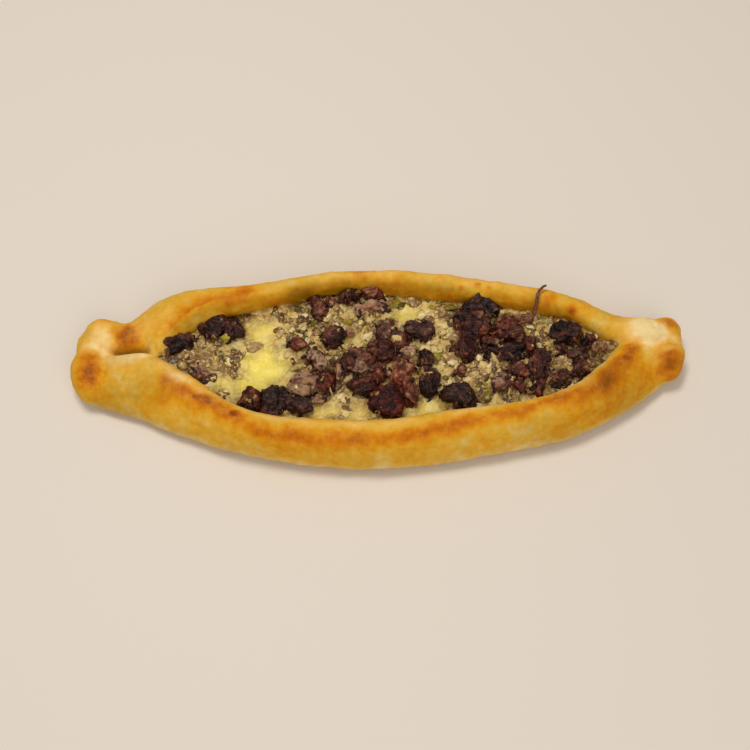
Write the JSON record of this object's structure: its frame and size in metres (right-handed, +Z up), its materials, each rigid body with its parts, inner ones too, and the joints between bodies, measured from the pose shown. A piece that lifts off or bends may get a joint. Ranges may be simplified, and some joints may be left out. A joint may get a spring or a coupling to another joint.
{
  "type": "turkish pide",
  "caption": "Boat-shaped open flatbread: a rolled baked crust folded shut at both tips holds a bed of melted cheese with chunks of dark roast meat.",
  "frame": {"origin": "centre of the underside of the whole pide's bounding box, on the surface it lies on", "axes": "+X along the boat, towards its right tip; +Y towards its back rim; +Z up"},
  "size_m": [0.3452, 0.1218, 0.0283],
  "materials": {
    "baked_dough": "golden-brown baked dough, satin where it was glazed, pale and matt at the foot",
    "melted_cheese": "melted cheese with mince and pepper baked in, moist sheen",
    "roast_meat": "dark roasted meat, fibrous, fatty highlights",
    "crisp_shred": "dry dark red-brown shred"
  },
  "bodies": {
    "root": {"cheese": "melted_cheese", "crisp_strand": "crisp_shred", "crust": "baked_dough", "meat_01": "roast_meat", "meat_02": "roast_meat", "meat_03": "roast_meat", "meat_04": "roast_meat", "meat_05": "roast_meat", "meat_06": "roast_meat", "meat_07": "roast_meat", "meat_08": "roast_meat", "meat_09": "roast_meat", "meat_10": "roast_meat", "meat_11": "roast_meat", "meat_12": "roast_meat", "meat_13": "roast_meat", "meat_14": "roast_meat", "meat_15": "roast_meat", "meat_16": "roast_meat", "meat_17": "roast_meat", "meat_18": "roast_meat", "meat_19": "roast_meat", "meat_20": "roast_meat", "meat_21": "roast_meat", "meat_22": "roast_meat", "meat_23": "roast_meat", "meat_24": "roast_meat", "meat_25": "roast_meat", "meat_26": "roast_meat", "meat_27": "roast_meat", "meat_28": "roast_meat", "meat_29": "roast_meat", "meat_30": "roast_meat", "meat_31": "roast_meat", "meat_32": "roast_meat", "meat_33": "roast_meat", "meat_34": "roast_meat", "meat_35": "roast_meat", "meat_36": "roast_meat", "meat_37": "roast_meat", "meat_38": "roast_meat", "meat_39": "roast_meat", "meat_40": "roast_meat", "meat_41": "roast_meat", "meat_42": "roast_meat", "meat_43": "roast_meat", "meat_44": "roast_meat", "meat_45": "roast_meat", "meat_46": "roast_meat", "meat_47": "roast_meat", "meat_48": "roast_meat", "meat_49": "roast_meat", "meat_50": "roast_meat", "meat_51": "roast_meat", "meat_52": "roast_meat", "meat_53": "roast_meat", "meat_54": "roast_meat", "meat_55": "roast_meat", "meat_56": "roast_meat"}
  },
  "joints": []
}
